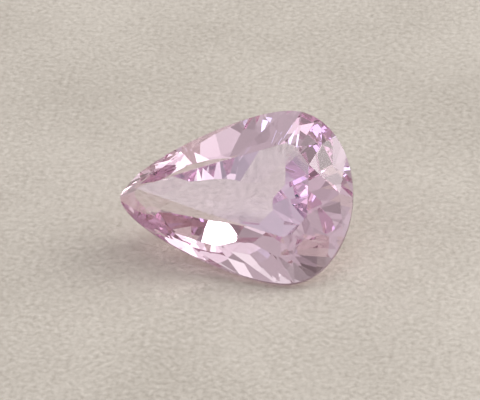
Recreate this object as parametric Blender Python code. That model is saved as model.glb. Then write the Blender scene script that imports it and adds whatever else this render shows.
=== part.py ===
"""Kunzite, cut as a pear: one loose faceted stone, lying on a facet of its pavilion.

The stone is ground out of a pear-shaped blank the way a cutter does it, one flat cut
for each facet. While it is cut it stands table up: X runs from the tip to the round
head, Y across the width, Z out of the table, and the origin is the middle of the
widest line, half way up the girdle. After the last cut the stone is tipped over onto
its resting facet and set down on z = 0.
"""
import math

import bmesh
import bpy
from mathutils import Matrix, Vector
from mathutils.geometry import interpolate_bezier

# Driving dimensions, in metres
GIRDLE_WIDTH = 0.0136
TIP_REACH = 0.0130          # widest line to the tip
HEAD_REACH = 0.00495        # widest line to the end of the head
TIP_ROUNDING = 0.0021       # curve handle at the tip: larger is blunter
FLANK_FULLNESS = 0.0041     # curve handle from the belly towards the tip
TIP_DRIFT = 0.00023         # how far the tip lies off the centre line
GIRDLE_HEIGHT = 0.0006
CROWN_HEIGHT = 0.0021
PAVILION_DEPTH = 0.0061     # girdle to about where the pavilion mains would meet
CULET_SETBACK = 0.0022      # where the keel row comes together, from the widest line

# Height at which the stars and the crown's girdle facets meet, as a share of the crown
STAR_SHARE = 0.5

# Each crown main: the way it faces, in degrees from the head, and the corner of the
# table that it ends in, in metres along and across. All but the tip's come in pairs.
CROWN_MAINS = {
    "head": (21.0, 0.00173, 0.00200),
    "shoulder": (52.0, 0.00068, 0.00340),
    "belly": (96.5, -0.00007, 0.00367),
    "wing": (107.5, -0.00592, 0.00190),
    "tip": (180.0, -0.01156, 0.0),
}
# Each pavilion main: the way it faces and its slope, both in degrees
PAVILION_MAINS = {
    "head": (0.0, 38.3),
    "shoulder": (43.9, 39.2),
    "belly": (95.0, 42.7),
    "tip": (180.0, 32.2),
}
# Pavilion facets at the girdle between two mains: how far down they reach, as a share of
# the pavilion's depth, and how many there are. The mains are named in order round the
# stone where its two sides differ: the flank that it rests beside is cut less deep.
LOWER_GIRDLE = {
    ("head", "shoulder"): (0.35, 4),
    ("shoulder", "belly"): (0.64, 3),
    ("belly", "tip"): (0.86, 5),
    ("tip", "belly"): (0.76, 5),
}
# The row between the mains and the keel: the way each facet faces and its slope in
# degrees, then the point of the middle line that it passes, in metres from the widest
# line towards the tip and below the girdle
MIDDLE_ROW = {
    "head": (29.9, 35.7, 0.00197, 0.00618),
    "belly": (70.4, 31.1, 0.00345, 0.00571),
}
# The last, shallow row along the keel, given in the same way
KEEL_ROW = {
    "head": (0.0, 21.7, CULET_SETBACK, 0.00535),
    "shoulder": (53.1, 28.3, CULET_SETBACK, 0.00575),
    "belly": (94.6, 19.5, CULET_SETBACK, 0.00516),
    "flank": (160.9, 26.0, CULET_SETBACK, 0.00555),
}
RESTING_FACET = ("belly", -1)

# Crown facets at the girdle between two mains: two, and more along the flank to the tip
FAN = 2
CROWN_FLANK_FAN = 5
# Slope of the crown's girdle facets along a flank, next to the wing and next to the tip
WING_FLANK_SLOPE = math.radians(41.0)
TIP_FLANK_SLOPE = math.radians(60.0)

OUTLINE_STEPS = 32          # straight lengths in each quarter of the girdle
ROUND_HANDLE = 0.5523       # handle share that makes a quarter ellipse
SHORTEST_EDGE = 0.000005
ON_PLANE = 1e-8

LILAC = (0.87, 0.66, 0.80, 1.0)
POLISH = 0.03
KUNZITE_IOR = 1.67


def start_clean():
    """Remove whatever objects the scene holds."""
    for thing in list(bpy.data.objects):
        bpy.data.objects.remove(thing)


def new_collection(name):
    group = bpy.data.collections.new(name)
    bpy.context.scene.collection.children.link(group)
    return group


def facing(degrees):
    """Unit vector in the girdle plane, turned from the head by the given angle."""
    return Vector((math.cos(math.radians(degrees)), math.sin(math.radians(degrees)), 0.0))


def outline_knots():
    """The four curve points of the girdle, each with its left and right handle."""
    half = GIRDLE_WIDTH / 2
    tip = Vector((-TIP_REACH, -TIP_DRIFT, 0.0))
    belly_right = Vector((0.0, -half, 0.0))
    head = Vector((HEAD_REACH, 0.0, 0.0))
    belly_left = Vector((0.0, half, 0.0))
    back = Vector((FLANK_FULLNESS, 0.0, 0.0))
    forward = Vector((HEAD_REACH * ROUND_HANDLE, 0.0, 0.0))
    across_tip = Vector((0.0, TIP_ROUNDING, 0.0))
    across_head = Vector((0.0, half * ROUND_HANDLE, 0.0))
    return (
        (tip + across_tip, tip, tip - across_tip),
        (belly_right - back, belly_right, belly_right + forward),
        (head - across_head, head, head + across_head),
        (belly_left + forward, belly_left, belly_left - back),
    )


def outline_points():
    """Points along the girdle, counterclockwise seen from the table."""
    knots = outline_knots()
    points = []
    for (_, start, leaving), (arriving, end, _) in zip(knots, knots[1:] + knots[:1]):
        points += interpolate_bezier(start, leaving, arriving, end, OUTLINE_STEPS + 1)[:-1]
    return points


def touching_index(points, direction):
    """Index of the outline point that reaches furthest in a direction."""
    return max(range(len(points)), key=lambda index: points[index].dot(direction))


def sloping_plane(point, direction, slope, up):
    """Plane through a point that falls away in a direction; up is 1 or -1."""
    normal = direction * math.sin(slope) + Vector((0.0, 0.0, up * math.cos(slope)))
    return point, normal


def plane_through(first, second, third, up):
    """Plane through three points whose normal has the given sign along Z."""
    normal = (second - first).cross(third - first).normalized()
    return (first, normal) if normal.z * up > 0 else (first, -normal)


def meeting_point(plane_a, plane_b, height):
    """Where the ridge between two planes passes a height."""
    rows = Matrix((plane_a[1], plane_b[1], Vector((0.0, 0.0, 1.0))))
    return rows.inverted() @ Vector((plane_a[0].dot(plane_a[1]), plane_b[0].dot(plane_b[1]), height))


def both_sides(mains):
    """Signed angles in order round the stone, mapped to the name and side of each main."""
    signed = {}
    for name, (angle, *_) in mains.items():
        signed[angle] = (name, 1)
        if 0.0 < angle < 180.0:
            signed[-angle] = (name, -1)
    return dict(sorted(signed.items()))


def fan_points(outline, start, end, count):
    """Outline points that part the stretch from start to end into equal lengths."""
    total = len(outline)
    run = [outline[(start + step) % total] for step in range((end - start) % total + 1)]
    lengths = [0.0]
    for before, after in zip(run, run[1:]):
        lengths.append(lengths[-1] + (after - before).length)
    picks = []
    for share in range(count + 1):
        goal = lengths[-1] * share / count
        picks.append(run[min(range(len(run)), key=lambda index: abs(lengths[index] - goal))])
    return picks


def beside_tip(angle, next_angle):
    """Whether the stretch between two neighbouring mains is a flank, which ends at the tip."""
    return 180.0 in (abs(angle), abs(next_angle))


def plane_on_chord(first, second, slope, up):
    """Plane through two girdle points that rises or falls inwards at a given slope."""
    chord = second - first
    outward = Vector((chord.y, -chord.x, 0.0)).normalized()
    return sloping_plane(first, outward, slope, up)


def flank_slope(step, next_is_tip):
    """Slope of one girdle facet of a flank, counted in the order of the outline."""
    share = step / (CROWN_FLANK_FAN - 1)
    towards_tip = share if next_is_tip else 1.0 - share
    return WING_FLANK_SLOPE + (TIP_FLANK_SLOPE - WING_FLANK_SLOPE) * towards_tip


def crown_cuts(outline):
    """Table, mains, stars and upper girdle facets."""
    girdle_top = GIRDLE_HEIGHT / 2
    table_height = girdle_top + CROWN_HEIGHT
    lift = Vector((0.0, 0.0, girdle_top))
    cuts = [(Vector((0.0, 0.0, table_height)), Vector((0.0, 0.0, 1.0)))]
    angles = both_sides(CROWN_MAINS)
    corners, mains, touching = {}, {}, {}
    for angle, (name, side) in angles.items():
        _, along, across = CROWN_MAINS[name]
        touching[angle] = touching_index(outline, facing(angle))
        girdle_point = outline[touching[angle]]
        corners[angle] = Vector((along, side * across, table_height))
        width = (girdle_point - corners[angle]).dot(facing(angle))
        slope = math.atan2(CROWN_HEIGHT, width)
        mains[angle] = sloping_plane(girdle_point + lift, facing(angle), slope, 1)
        cuts.append(mains[angle])
    order = list(angles)
    for angle, next_angle in zip(order, order[1:] + order[:1]):
        star_height = table_height - STAR_SHARE * CROWN_HEIGHT
        knot = meeting_point(mains[angle], mains[next_angle], star_height)
        cuts.append(plane_through(corners[angle], corners[next_angle], knot, 1))
        flank = beside_tip(angle, next_angle)
        count = CROWN_FLANK_FAN if flank else FAN
        rim = fan_points(outline, touching[angle], touching[next_angle], count)
        for step, (start, end) in enumerate(zip(rim, rim[1:])):
            if flank:
                slope = flank_slope(step, next_angle == 180.0)
                cuts.append(plane_on_chord(start + lift, end + lift, slope, 1))
            else:
                cuts.append(plane_through(start + lift, end + lift, knot, 1))
    return cuts


def pavilion_cuts(outline):
    """Pavilion mains by name and side, and the cuts of the rows above and below them."""
    girdle_bottom = -GIRDLE_HEIGHT / 2
    drop = Vector((0.0, 0.0, girdle_bottom))
    angles = both_sides(PAVILION_MAINS)
    mains, touching = {}, {}
    for angle, (name, _) in angles.items():
        slope = math.radians(PAVILION_MAINS[name][1])
        touching[angle] = touching_index(outline, facing(angle))
        girdle_point = outline[touching[angle]] + drop
        mains[angle] = sloping_plane(girdle_point, facing(angle), slope, -1)
    rows = []
    order = list(angles)
    for angle, next_angle in zip(order, order[1:] + order[:1]):
        names = (angles[angle][0], angles[next_angle][0])
        share, count = LOWER_GIRDLE.get(names) or LOWER_GIRDLE[names[::-1]]
        knot = meeting_point(mains[angle], mains[next_angle], girdle_bottom - share * PAVILION_DEPTH)
        rim = fan_points(outline, touching[angle], touching[next_angle], count)
        rows += [plane_through(a + drop, b + drop, knot, -1) for a, b in zip(rim, rim[1:])]
    for row in (MIDDLE_ROW, KEEL_ROW):
        for angle, (name, _) in both_sides(row).items():
            _, slope, setback, depth = row[name]
            point = Vector((-setback, 0.0, girdle_bottom - depth))
            rows.append(sloping_plane(point, facing(angle), math.radians(slope), -1))
    return {angles[angle]: main for angle, main in mains.items()}, rows


def make_blank(collection):
    """Pear-shaped slab, tall enough to hold the crown and the pavilion."""
    curve = bpy.data.curves.new("pear_outline", "CURVE")
    curve.dimensions = "2D"
    curve.fill_mode = "BOTH"
    curve.resolution_u = OUTLINE_STEPS
    curve.extrude = 1.5 * PAVILION_DEPTH
    spline = curve.splines.new("BEZIER")
    knots = outline_knots()
    spline.bezier_points.add(len(knots) - 1)
    for point, (left, middle, right) in zip(spline.bezier_points, knots):
        point.handle_left_type = "FREE"
        point.handle_right_type = "FREE"
        point.co = middle
        point.handle_left = left
        point.handle_right = right
    spline.use_cyclic_u = True
    outline = bpy.data.objects.new("pear_outline", curve)
    outline.hide_render = True
    outline.display_type = "WIRE"
    collection.objects.link(outline)
    return outline


def mesh_of(thing, name):
    """Copy an object's evaluated shape into a mesh of its own."""
    bpy.context.view_layer.update()
    evaluated = thing.evaluated_get(bpy.context.evaluated_depsgraph_get())
    mesh = bpy.data.meshes.new_from_object(evaluated)
    mesh.name = name
    return mesh


def grind(shape, point, normal):
    """Take off everything past a plane and close the stone with one flat facet."""
    everything = shape.verts[:] + shape.edges[:] + shape.faces[:]
    bmesh.ops.bisect_plane(
        shape, geom=everything, dist=ON_PLANE, plane_co=point, plane_no=normal, clear_outer=True
    )
    rim = [edge for edge in shape.edges if edge.is_boundary]
    if rim:
        bmesh.ops.edgeloop_fill(shape, edges=rim)


def make_stone(blank, cuts):
    """Cut the blank with every facet plane and return the finished mesh."""
    mesh = mesh_of(blank, "kunzite")
    shape = bmesh.new()
    shape.from_mesh(mesh)
    bmesh.ops.remove_doubles(shape, verts=shape.verts, dist=SHORTEST_EDGE)
    for point, normal in cuts:
        grind(shape, point, normal)
    bmesh.ops.remove_doubles(shape, verts=shape.verts, dist=SHORTEST_EDGE)
    bmesh.ops.dissolve_degenerate(shape, edges=shape.edges, dist=SHORTEST_EDGE)
    bmesh.ops.recalc_face_normals(shape, faces=shape.faces)
    shape.to_mesh(mesh)
    shape.free()
    mesh.shade_flat()
    return mesh


def gem_material():
    material = bpy.data.materials.new("kunzite")
    material.use_nodes = True
    shader = material.node_tree.nodes["Principled BSDF"]
    shader.inputs["Base Color"].default_value = LILAC
    shader.inputs["Roughness"].default_value = POLISH
    shader.inputs["Metallic"].default_value = 0.0
    shader.inputs["IOR"].default_value = KUNZITE_IOR
    shader.inputs["Transmission Weight"].default_value = 1.0
    return material


def lay_down(stone, resting_normal):
    """Tip the stone onto its resting facet, point the head along +X and set it on z = 0."""
    tip_over = resting_normal.rotation_difference(Vector((0.0, 0.0, -1.0))).to_matrix()
    heading = tip_over @ Vector((1.0, 0.0, 0.0))
    turn = Matrix.Rotation(-math.atan2(heading.y, heading.x), 3, "Z")
    pose = turn @ tip_over
    corners = [pose @ vertex.co for vertex in stone.data.vertices]
    low = Vector([min(corner[axis] for corner in corners) for axis in range(3)])
    high = Vector([max(corner[axis] for corner in corners) for axis in range(3)])
    stone.rotation_euler = pose.to_euler()
    stone.location = (-(low.x + high.x) / 2, -(low.y + high.y) / 2, -low.z)


def main():
    start_clean()
    cutters = new_collection("cutters")
    parts = new_collection("kunzite")
    outline = outline_points()
    pavilion_mains, pavilion_rows = pavilion_cuts(outline)
    cuts = crown_cuts(outline) + list(pavilion_mains.values()) + pavilion_rows
    stone = bpy.data.objects.new("kunzite", make_stone(make_blank(cutters), cuts))
    stone.data.materials.append(gem_material())
    parts.objects.link(stone)
    lay_down(stone, pavilion_mains[RESTING_FACET][1])


main()
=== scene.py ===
"""Kunzite, cut as a pear: the stone's finish, the floor that it lies on, and the light."""
import math

import bmesh
import bpy
from bpy.props import FloatProperty, FloatVectorProperty, PointerProperty
from bpy.types import Operator, Panel, PropertyGroup
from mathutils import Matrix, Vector


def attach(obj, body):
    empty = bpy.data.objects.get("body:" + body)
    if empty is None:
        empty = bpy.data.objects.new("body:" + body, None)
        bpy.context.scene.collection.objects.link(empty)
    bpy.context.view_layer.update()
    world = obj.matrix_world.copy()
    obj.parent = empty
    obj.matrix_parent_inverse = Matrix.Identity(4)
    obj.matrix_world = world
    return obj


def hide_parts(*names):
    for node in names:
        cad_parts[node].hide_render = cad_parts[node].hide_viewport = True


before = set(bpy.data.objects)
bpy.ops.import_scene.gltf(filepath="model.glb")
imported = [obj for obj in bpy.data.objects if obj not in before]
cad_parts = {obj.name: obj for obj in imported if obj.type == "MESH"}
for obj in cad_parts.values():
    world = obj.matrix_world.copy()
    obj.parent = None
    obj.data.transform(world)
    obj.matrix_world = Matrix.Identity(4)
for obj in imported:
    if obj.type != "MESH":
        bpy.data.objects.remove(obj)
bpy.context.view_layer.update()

bl_info = {
    "name": "Pear-cut kunzite",
    "version": (1, 0, 0),
    "blender": (4, 5, 0),
    "location": "3D View > Sidebar > Kunzite",
    "description": "A loose faceted kunzite, lying on a pale floor in soft light",
    "category": "Object",
}

STONE_NODE = "kunzite"
STONE_PIECE = "cut_stone"

# Lengths in metres, angles in radians
FLAT_ANGLE = math.radians(0.05)     # triangles this close to one plane are one facet
WELD = 1e-6                         # corners this close to each other are one corner
ON_PLANE = 1e-8                     # corners this close to a cut lie on it
LEAST_TURN = math.radians(4.0)      # flatter edges than this stay sharp
GIRDLE_LEAN = 0.02                  # sine of the angle that still counts as square to the table
AIR_GAP = 3e-5                      # thin layer of air between the floor and the resting facet

# Noise scales per metre of surface and the share of the broad noise in the mix
ZONE_FINE, ZONE_BROAD, ZONE_SHARE = 900.0, 160.0, 0.7
NAP_FINE, NAP_BROAD, NAP_SHARE = 2600.0, 70.0, 0.35
NOISE_DETAIL = 3.0
NOISE_LOW, NOISE_HIGH = 0.3, 0.7    # the part of the noise that the two colours are spread over
NAP_HEIGHT = 0.00012
NAP_STRENGTH = 0.35
NAP_ROUGHNESS = 0.95
NAP_GLOSS = 0.2

# Camera: the way it looks from, where it looks to and how far off it is
CAMERA_AZIMUTH = math.radians(6.37)     # from straight ahead towards the round head
CAMERA_ELEVATION = math.radians(34.0)
CAMERA_AIM = (-0.00042643, 0.00633671, 0.0)
CAMERA_DISTANCE = 0.22854
CAMERA_LENS = 216.0
CAMERA_SENSOR = 36.0
CAMERA_CLIP = 0.005

# Soft patches of the surround, added up: compass direction and height in degrees, where the
# patch ends and where it is full, in degrees from its middle, and its brightness
SURROUND_PATCHES = (
    ((2, 8), (26, 12), 1.45),
    ((352, 38), (22, 10), 0.80),
    ((46, 58), (16, 8), 0.90),
    ((68, 24), (34, 12), 0.30),
    ((69, 36), (11, 6), 0.70),
    ((82, 74), (30, 12), 0.95),
    ((121, 38), (28, 10), 0.50),
    ((193, 8), (34, 12), 0.45),
    ((232, 12), (30, 12), 0.12),
    ((260, 45), (55, 20), 0.38),
    ((328, 15), (30, 12), 0.80),
)
# The patch of sky that the table mirrors towards the camera
TABLE_SKY = ((250, 59), (9, 5), 1.0)

# Soft box: compass direction and height in degrees, distance, and width and height
KEY_DIRECTION = (29, 37)
KEY_DISTANCE = 0.6
KEY_SIDES = (0.26, 0.26)

# Light inside the stone is turned back many times before it comes out
INNER_BOUNCES = 32
GLOSSY_BOUNCES = 16


class KunziteStone(PropertyGroup):
    """Finish of the stone."""

    surface_colour: FloatVectorProperty(
        name="Surface tint", description="Light that the polished surface lets through",
        subtype="COLOR", size=3, min=0.0, max=1.0, default=(1.0, 0.985, 0.995),
    )
    zone_colour: FloatVectorProperty(
        name="Zone tint", description="Tint of the slightly pinker growth zones",
        subtype="COLOR", size=3, min=0.0, max=1.0, default=(1.0, 0.95, 0.97),
    )
    body_colour: FloatVectorProperty(
        name="Body colour", description="Colour that deepens with the light's way through the stone",
        subtype="COLOR", size=3, min=0.0, max=1.0, default=(0.91, 0.65, 0.83),
    )
    depth: FloatProperty(
        name="Depth of colour", description="How strongly the body colour takes light, per metre",
        min=0.0, default=45.0,
    )
    refractive_index: FloatProperty(
        name="Refractive index", description="Middle of kunzite's two indices",
        min=1.0, max=3.0, default=1.67,
    )
    polish: FloatProperty(
        name="Polish", description="Roughness of the polished facets", min=0.0, max=1.0, default=0.0,
    )
    # Painted shade: this dark tint on the girdle faces stands in for the shade along the girdle; their
    # matt roughness is the girdle's real finish.
    girdle_painted_shade: FloatVectorProperty(
        name="Girdle painted shade", description="Light that the matt girdle lets through",
        subtype="COLOR", size=3, min=0.0, max=1.0, default=(0.3, 0.24, 0.25),
    )
    girdle_roughness: FloatProperty(
        name="Girdle roughness", description="Roughness of the matt girdle", min=0.0, max=1.0,
        default=0.35,
    )
    edge_width: FloatProperty(
        name="Edge width", description="Width of the strip worn off each facet edge",
        unit="LENGTH", min=0.0, default=0.00002,
    )


class KunziteStage(PropertyGroup):
    """Floor, light and camera."""

    floor_colour: FloatVectorProperty(
        name="Floor colour", description="Plain pale floor", subtype="COLOR", size=3,
        min=0.0, max=1.0, default=(0.91, 0.885, 0.785),
    )
    # Painted shade: the floor's colour follows the noise that raises its nap, so its hollows get this
    # darker colour.
    floor_painted_shade: FloatVectorProperty(
        name="Floor painted shade", description="Colour in the hollows of the floor's nap", subtype="COLOR",
        size=3, min=0.0, max=1.0, default=(0.56, 0.53, 0.455),
    )
    floor_side: FloatProperty(
        name="Floor side", description="Side of the square floor", unit="LENGTH", default=2.0,
    )
    ambient: FloatVectorProperty(
        name="Even light", description="Light from every side", subtype="COLOR", size=3,
        min=0.0, max=1.0, default=(0.155, 0.12, 0.12),
    )
    patch_colour: FloatVectorProperty(
        name="Patch colour", description="Colour of the surround's soft patches", subtype="COLOR",
        size=3, min=0.0, max=1.0, default=(1.0, 0.985, 0.99),
    )
    table_sky: FloatVectorProperty(
        name="Table sky", description="Light of the patch of sky that the table mirrors",
        subtype="COLOR", size=3, min=0.0, soft_max=4.0, default=(1.08, 1.2, 1.82),
    )
    patch_strength: FloatProperty(
        name="Patch strength", description="Brightness of the soft patches, all together",
        min=0.0, default=1.0,
    )
    key_radiance: FloatProperty(
        name="Key light", description="Brightness of the soft box above the stone", min=0.0,
        default=4.25,
    )
    key_colour: FloatVectorProperty(
        name="Key colour", description="Colour of the soft box", subtype="COLOR", size=3,
        min=0.0, max=1.0, default=(1.0, 0.98, 0.96),
    )


def new_material(name):
    """A material with one Principled shader, and its tree, shader and output."""
    material = bpy.data.materials.new(name)
    material.use_nodes = True
    tree = material.node_tree
    return material, tree, tree.nodes["Principled BSDF"], tree.nodes["Material Output"]


def speckle_group():
    """Fine and broad unevenness of a surface: two noises mixed, from 0 to 1, with its middle at 0.5."""
    group = bpy.data.node_groups.new("speckle", "ShaderNodeTree")
    for name, default in (("Fine scale", 1000.0), ("Broad scale", 60.0), ("Broad share", 0.5)):
        socket = group.interface.new_socket(name, in_out="INPUT", socket_type="NodeSocketFloat")
        socket.default_value = default
    group.interface.new_socket("Speckle", in_out="OUTPUT", socket_type="NodeSocketFloat")
    nodes, links = group.nodes, group.links
    given, made = nodes.new("NodeGroupInput"), nodes.new("NodeGroupOutput")
    place = nodes.new("ShaderNodeTexCoord")
    mix = nodes.new("ShaderNodeMix")
    for scale, socket in (("Fine scale", "A"), ("Broad scale", "B")):
        noise = nodes.new("ShaderNodeTexNoise")
        noise.inputs["Detail"].default_value = NOISE_DETAIL
        links.new(place.outputs["Object"], noise.inputs["Vector"])
        links.new(given.outputs[scale], noise.inputs["Scale"])
        links.new(noise.outputs["Fac"], mix.inputs[socket])
    links.new(given.outputs["Broad share"], mix.inputs["Factor"])
    links.new(mix.outputs["Result"], made.inputs["Speckle"])
    return group


def speckle(tree, fine, broad, share):
    """Place the speckle group in a material and return its output."""
    group = bpy.data.node_groups.get("speckle") or speckle_group()
    node = tree.nodes.new("ShaderNodeGroup")
    node.node_tree = group
    node.inputs["Fine scale"].default_value = fine
    node.inputs["Broad scale"].default_value = broad
    node.inputs["Broad share"].default_value = share
    return node.outputs["Speckle"]


def mixed_colour(tree, share, first, second):
    """A colour between two, by a share over the surface."""
    ramp = tree.nodes.new("ShaderNodeMapRange")
    ramp.inputs["From Min"].default_value = NOISE_LOW
    ramp.inputs["From Max"].default_value = NOISE_HIGH
    tree.links.new(share, ramp.inputs["Value"])
    mix = tree.nodes.new("ShaderNodeMix")
    mix.data_type = "RGBA"
    tree.links.new(ramp.outputs["Result"], mix.inputs["Factor"])
    mix.inputs["A"].default_value = (*first, 1.0)
    mix.inputs["B"].default_value = (*second, 1.0)
    return mix.outputs["Result"]


def kunzite_material(settings):
    """Clear polished stone whose colour deepens with the way through it, and a matt girdle whose dark
    colour is painted shade.
    """
    material, tree, shader, output = new_material("kunzite")
    zones = speckle(tree, ZONE_FINE, ZONE_BROAD, ZONE_SHARE)
    colour = mixed_colour(tree, zones, settings.surface_colour, settings.zone_colour)
    girdle = tree.nodes.new("ShaderNodeAttribute")
    girdle.attribute_name = "girdle"
    # Painted shade: the girdle faces take the dark girdle tint as their colour.
    shade = tree.nodes.new("ShaderNodeMix")
    shade.data_type = "RGBA"
    tree.links.new(girdle.outputs["Fac"], shade.inputs["Factor"])
    tree.links.new(colour, shade.inputs["A"])
    shade.inputs["B"].default_value = (*settings.girdle_painted_shade, 1.0)
    tree.links.new(shade.outputs["Result"], shader.inputs["Base Color"])
    rough = tree.nodes.new("ShaderNodeMapRange")
    rough.inputs["To Min"].default_value = settings.polish
    rough.inputs["To Max"].default_value = settings.girdle_roughness
    tree.links.new(girdle.outputs["Fac"], rough.inputs["Value"])
    tree.links.new(rough.outputs["Result"], shader.inputs["Roughness"])
    shader.inputs["Metallic"].default_value = 0.0
    shader.inputs["IOR"].default_value = settings.refractive_index
    shader.inputs["Transmission Weight"].default_value = 1.0
    inside = tree.nodes.new("ShaderNodeVolumeAbsorption")
    inside.inputs["Color"].default_value = (*settings.body_colour, 1.0)
    inside.inputs["Density"].default_value = settings.depth
    tree.links.new(inside.outputs["Volume"], output.inputs["Volume"])
    return material


def floor_material(settings):
    """Pale, matt, faintly uneven cloth-like floor, with painted shade in the hollows of its nap."""
    material, tree, shader, output = new_material("pale_floor")
    nap = speckle(tree, NAP_FINE, NAP_BROAD, NAP_SHARE)
    # Painted shade: darker where the bump makes the nap low.
    colour = mixed_colour(tree, nap, settings.floor_painted_shade, settings.floor_colour)
    tree.links.new(colour, shader.inputs["Base Color"])
    bump = tree.nodes.new("ShaderNodeBump")
    bump.inputs["Strength"].default_value = NAP_STRENGTH
    bump.inputs["Distance"].default_value = NAP_HEIGHT
    tree.links.new(nap, bump.inputs["Height"])
    tree.links.new(bump.outputs["Normal"], shader.inputs["Normal"])
    shader.inputs["Roughness"].default_value = NAP_ROUGHNESS
    shader.inputs["Specular IOR Level"].default_value = NAP_GLOSS
    return material


def facets_of(mesh):
    """The solid's surface with its triangles joined into whole facets."""
    shape = bmesh.new()
    shape.from_mesh(mesh)
    bmesh.ops.remove_doubles(shape, verts=shape.verts, dist=WELD)
    bmesh.ops.dissolve_limit(
        shape, angle_limit=FLAT_ANGLE, verts=shape.verts, edges=shape.edges
    )
    bmesh.ops.recalc_face_normals(shape, faces=shape.faces)
    shape.normal_update()
    return shape


def edge_cuts(shape, width):
    """Planes that take a thin strip off each facet edge, as handling does."""
    cuts = []
    for edge in shape.edges:
        first, second = (face.normal for face in edge.link_faces)
        turn = first.angle(second)
        if turn < LEAST_TURN:
            continue
        normal = (first + second).normalized()
        middle = (edge.verts[0].co + edge.verts[1].co) / 2
        cuts.append((middle - normal * (width / 2 * math.tan(turn / 2)), normal))
    return cuts


def soften(shape, width):
    """Cut the strips off a convex solid and close each with a flat face."""
    for point, normal in edge_cuts(shape, width):
        bmesh.ops.bisect_plane(
            shape, geom=shape.verts[:] + shape.edges[:] + shape.faces[:], dist=ON_PLANE,
            plane_co=point, plane_no=normal, clear_outer=True,
        )
        rim = [edge for edge in shape.edges if edge.is_boundary]
        if rim:
            bmesh.ops.edgeloop_fill(shape, edges=rim)
    bmesh.ops.recalc_face_normals(shape, faces=shape.faces)


def mark_girdle(mesh):
    """Mark the faces that stand square to the table, which is the largest facet."""
    table = max(mesh.polygons, key=lambda face: face.area).normal
    mark = mesh.attributes.new("girdle", "FLOAT", "FACE")
    square = [float(abs(face.normal.dot(table)) < GIRDLE_LEAN) for face in mesh.polygons]
    mark.data.foreach_set("value", square)


class KUNZITE_OT_stone(Operator):
    """Take the facets from the solid, soften their edges a little and give them the finish"""

    bl_idname = "kunzite.stone"
    bl_label = "Stone"

    def execute(self, context):
        settings = context.scene.kunzite_stone
        shape = facets_of(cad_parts[STONE_NODE].data)
        if settings.edge_width > 0.0:
            soften(shape, settings.edge_width)
        mesh = bpy.data.meshes.new(STONE_PIECE)
        shape.to_mesh(mesh)
        shape.free()
        mesh.shade_flat()
        mark_girdle(mesh)
        mesh.materials.append(kunzite_material(settings))
        stone = bpy.data.objects.new(STONE_PIECE, mesh)
        context.scene.collection.objects.link(stone)
        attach(stone, "root")
        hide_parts(STONE_NODE)
        return {"FINISHED"}


def towards(azimuth, elevation):
    """Unit vector towards a compass direction in degrees, from +X towards +Y, and a height."""
    turn, rise = math.radians(azimuth), math.radians(elevation)
    return Vector((math.cos(turn) * math.cos(rise), math.sin(turn) * math.cos(rise), math.sin(rise)))


def soft_box(scene, settings):
    """A square area light that faces the stone, as bright as its radiance says."""
    direction = towards(*KEY_DIRECTION)
    width, height = KEY_SIDES
    light = bpy.data.lights.new("key", "AREA")
    light.shape = "RECTANGLE"
    light.size = width
    light.size_y = height
    light.energy = math.pi * width * height * settings.key_radiance
    light.color = settings.key_colour
    lamp = bpy.data.objects.new("key", light)
    scene.collection.objects.link(lamp)
    lamp.location = direction * KEY_DISTANCE
    lamp.rotation_euler = (-direction).to_track_quat("-Z", "Y").to_euler()
    lamp.visible_camera = False


def soft_patch(tree, place, direction, spread):
    """A mask that is full near a direction and eases out to its edge."""
    outer, inner = spread
    dot = tree.nodes.new("ShaderNodeVectorMath")
    dot.operation = "DOT_PRODUCT"
    dot.inputs[1].default_value = towards(*direction)
    tree.links.new(place, dot.inputs[0])
    ease = tree.nodes.new("ShaderNodeMapRange")
    ease.interpolation_type = "SMOOTHSTEP"
    ease.inputs["From Min"].default_value = math.cos(math.radians(outer))
    ease.inputs["From Max"].default_value = math.cos(math.radians(inner))
    tree.links.new(dot.outputs["Value"], ease.inputs["Value"])
    return ease.outputs["Result"]


def surround_world(settings):
    """The light from all round: an even part and a few soft patches on top of it."""
    world = bpy.data.worlds.new("surround")
    world.use_nodes = True
    tree = world.node_tree
    place = tree.nodes.new("ShaderNodeTexCoord").outputs["Generated"]
    even = tree.nodes.new("ShaderNodeRGB")
    even.outputs["Color"].default_value = (*settings.ambient, 1.0)
    colour = even.outputs["Color"]
    patches = [(*patch, settings.patch_colour, settings.patch_strength) for patch in SURROUND_PATCHES]
    patches.append((*TABLE_SKY, settings.table_sky, 1.0))
    for direction, spread, brightness, tint, strength in patches:
        add = tree.nodes.new("ShaderNodeMix")
        add.data_type = "RGBA"
        add.blend_type = "ADD"
        tree.links.new(soft_patch(tree, place, direction, spread), add.inputs["Factor"])
        tree.links.new(colour, add.inputs["A"])
        add.inputs["B"].default_value = (*(brightness * strength * channel for channel in tint), 1.0)
        colour = add.outputs["Result"]
    tree.links.new(colour, tree.nodes["Background"].inputs["Color"])
    return world


def make_camera(scene):
    """The camera, at the height and the side that the stone is seen from."""
    away = Vector((
        math.sin(CAMERA_AZIMUTH) * math.cos(CAMERA_ELEVATION),
        -math.cos(CAMERA_AZIMUTH) * math.cos(CAMERA_ELEVATION),
        math.sin(CAMERA_ELEVATION),
    ))
    camera = bpy.data.objects.new("camera", bpy.data.cameras.new("camera"))
    scene.collection.objects.link(camera)
    camera.data.sensor_width = CAMERA_SENSOR
    camera.data.lens = CAMERA_LENS
    camera.data.clip_start = CAMERA_CLIP
    camera.location = Vector(CAMERA_AIM) + away * CAMERA_DISTANCE
    camera.rotation_euler = (-away).to_track_quat("-Z", "Y").to_euler()
    scene.camera = camera


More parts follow.
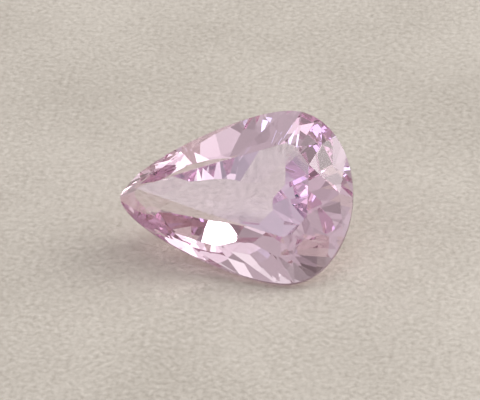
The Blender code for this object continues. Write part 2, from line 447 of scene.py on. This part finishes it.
def make_floor(scene, settings):
    """A square floor just below the stone's resting facet."""
    half = settings.floor_side / 2
    corners = [(x * half, y * half, -AIR_GAP) for x, y in ((-1, -1), (1, -1), (1, 1), (-1, 1))]
    mesh = bpy.data.meshes.new("floor")
    mesh.from_pydata(corners, [], [range(len(corners))])
    mesh.materials.append(floor_material(settings))
    floor = bpy.data.objects.new("floor", mesh)
    scene.collection.objects.link(floor)


class KUNZITE_OT_stage(Operator):
    """Lay the floor and set up the light and the camera"""

    bl_idname = "kunzite.stage"
    bl_label = "Stage"

    def execute(self, context):
        scene = context.scene
        settings = scene.kunzite_stage
        make_floor(scene, settings)
        scene.world = surround_world(settings)
        soft_box(scene, settings)
        make_camera(scene)
        scene.cycles.max_bounces = INNER_BOUNCES
        scene.cycles.transmission_bounces = INNER_BOUNCES
        scene.cycles.glossy_bounces = GLOSSY_BOUNCES
        scene.cycles.blur_glossy = 0.0
        scene.cycles.use_denoising = True
        scene.cycles.denoising_input_passes = "RGB"
        scene.view_settings.view_transform = "Standard"
        return {"FINISHED"}


class KUNZITE_PT_panel(Panel):
    """The settings of the stone and of the stage, each with the button that builds it"""

    bl_idname = "KUNZITE_PT_panel"
    bl_label = "Kunzite"
    bl_space_type = "VIEW_3D"
    bl_region_type = "UI"
    bl_category = "Kunzite"

    def draw(self, context):
        scene = context.scene
        steps = ((scene.kunzite_stone, KUNZITE_OT_stone), (scene.kunzite_stage, KUNZITE_OT_stage))
        for settings, operator in steps:
            box = self.layout.box()
            for name in settings.__annotations__:
                box.prop(settings, name)
            box.operator(operator.bl_idname)


CLASSES = (KunziteStone, KunziteStage, KUNZITE_OT_stone, KUNZITE_OT_stage, KUNZITE_PT_panel)


def register():
    for kind in CLASSES:
        bpy.utils.register_class(kind)
    bpy.types.Scene.kunzite_stone = PointerProperty(type=KunziteStone)
    bpy.types.Scene.kunzite_stage = PointerProperty(type=KunziteStage)


def unregister():
    del bpy.types.Scene.kunzite_stage
    del bpy.types.Scene.kunzite_stone
    for kind in reversed(CLASSES):
        bpy.utils.unregister_class(kind)


def main():
    register()
    bpy.ops.kunzite.stone()
    bpy.ops.kunzite.stage()


if __name__ == "__main__":
    main()
